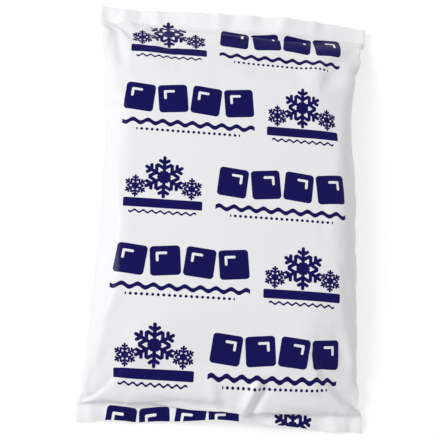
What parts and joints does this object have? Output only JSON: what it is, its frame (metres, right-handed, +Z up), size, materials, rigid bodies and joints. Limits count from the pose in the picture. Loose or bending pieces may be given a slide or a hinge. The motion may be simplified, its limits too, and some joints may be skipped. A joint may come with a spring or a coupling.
{
  "type": "reusable ice pack",
  "caption": "Reusable gel ice pack: a sealed pillow of white film with navy print, welded flat at both ends, lying on its back.",
  "frame": {"origin": "middle of the bounding box's base, on the table that the pack lies on", "axes": "+Z up out of the printed face, +Y along the length to the upper end seal, +X to the right as the print is read"},
  "size_m": [0.152, 0.2304, 0.0248],
  "materials": {
    "film": "soft gloss white film with navy print"
  },
  "bodies": {
    "root": {"ice_pack": "film"}
  },
  "joints": []
}
